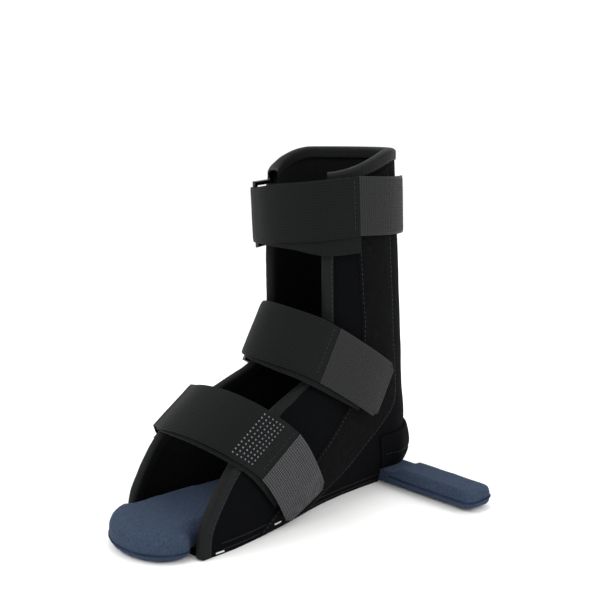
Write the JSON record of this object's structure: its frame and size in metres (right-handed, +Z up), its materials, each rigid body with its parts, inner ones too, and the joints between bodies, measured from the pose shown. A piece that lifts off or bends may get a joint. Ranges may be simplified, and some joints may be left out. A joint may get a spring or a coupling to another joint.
{
  "type": "ankle foot orthosis",
  "caption": "Night splint boot for the left foot: open velvet shell on a T-shaped padded board, closed by elastic straps through rings with hook tabs.",
  "frame": {"origin": "on the floor under the middle of the boot, at the front face of the ankle, X = 0 is the boot's plane of symmetry", "axes": "+Z up, -Y towards the toes, +X towards the outer side of the left foot"},
  "size_m": [0.25, 0.2908, 0.2809],
  "materials": {
    "velvet": "brushed loop pile",
    "lining": "soft knit",
    "loop_pile": "looped nylon pile",
    "stay_metal": "satin",
    "tape": "ribbed woven tape",
    "tack_wire": "bright",
    "plywood": "raw",
    "fleece": "short brushed fleece",
    "foam": "open cell foam",
    "screw_steel": "zinc plated",
    "ring_plastic": "moulded, glossy",
    "webbing": "plain woven",
    "hook_tape": "fine ribbed hook tape",
    "elastic": "ribbed woven elastic",
    "sole_cloth": "woven cloth"
  },
  "bodies": {
    "root": {"lateral_panel": "velvet", "lateral_lining": "lining", "medial_panel": "velvet", "medial_lining": "lining", "back_panel": "velvet", "back_lining": "lining", "sole_panel": "sole_cloth", "heel_cup": "velvet", "lateral_loop_strip": "loop_pile", "lateral_stay": "stay_metal", "medial_loop_strip": "loop_pile", "medial_stay": "stay_metal", "lateral_binding": "tape", "medial_binding": "tape", "rim_binding": "tape", "lateral_hem_tacks": "tack_wire", "medial_hem_tacks": "tack_wire", "foot_board": "plywood", "cross_bar_board": "plywood", "insert_cover_top": "fleece", "insert_cover_bottom": "fleece", "insert_foam_top": "foam", "insert_foam_bottom": "foam", "board_screws": "screw_steel", "upper_ring": "ring_plastic", "upper_inner_run": "elastic", "upper_ring_webbing": "webbing", "middle_ring": "ring_plastic", "middle_inner_run": "elastic", "middle_ring_webbing": "webbing", "lower_ring": "ring_plastic", "lower_inner_run": "elastic", "lower_ring_webbing": "webbing"},
    "upper_strap": {"upper_outer_run": "elastic"},
    "upper_tab": {"upper_hook_tab": "hook_tape"},
    "middle_strap": {"middle_outer_run": "elastic"},
    "middle_tab": {"middle_hook_tab": "hook_tape"},
    "lower_strap": {"lower_outer_run": "elastic"},
    "lower_tab": {"lower_hook_tab": "hook_tape"}
  },
  "joints": [
    {"name": "upper_strap_swing", "type": "hinge", "parent": "root", "child": "upper_strap", "pos_m": [-0.054, -0.06276, 0.22606], "axis": [0, 0.0499, -0.9988], "range_deg": [0, 60]},
    {"name": "upper_tab_peel", "type": "hinge", "parent": "upper_strap", "child": "upper_tab", "pos_m": [0.05345, -0.05304, 0.23876], "axis": [0, 0.0499, -0.9988], "range_deg": [0, 40]},
    {"name": "middle_strap_swing", "type": "hinge", "parent": "root", "child": "middle_strap", "pos_m": [-0.0495, -0.06791, 0.12933], "axis": [0, -0.5, -0.866], "range_deg": [0, 60]},
    {"name": "middle_tab_peel", "type": "hinge", "parent": "middle_strap", "child": "middle_tab", "pos_m": [0.04605, -0.07584, 0.12651], "axis": [0, -0.5, -0.866], "range_deg": [0, 40]},
    {"name": "lower_strap_swing", "type": "hinge", "parent": "root", "child": "lower_strap", "pos_m": [-0.0555, -0.14634, 0.07178], "axis": [0, -0.8202, -0.5721], "range_deg": [0, 45]},
    {"name": "lower_tab_peel", "type": "hinge", "parent": "lower_strap", "child": "lower_tab", "pos_m": [0.05369, -0.13319, 0.06219], "axis": [0, -0.8202, -0.5721], "range_deg": [0, 40]}
  ]
}
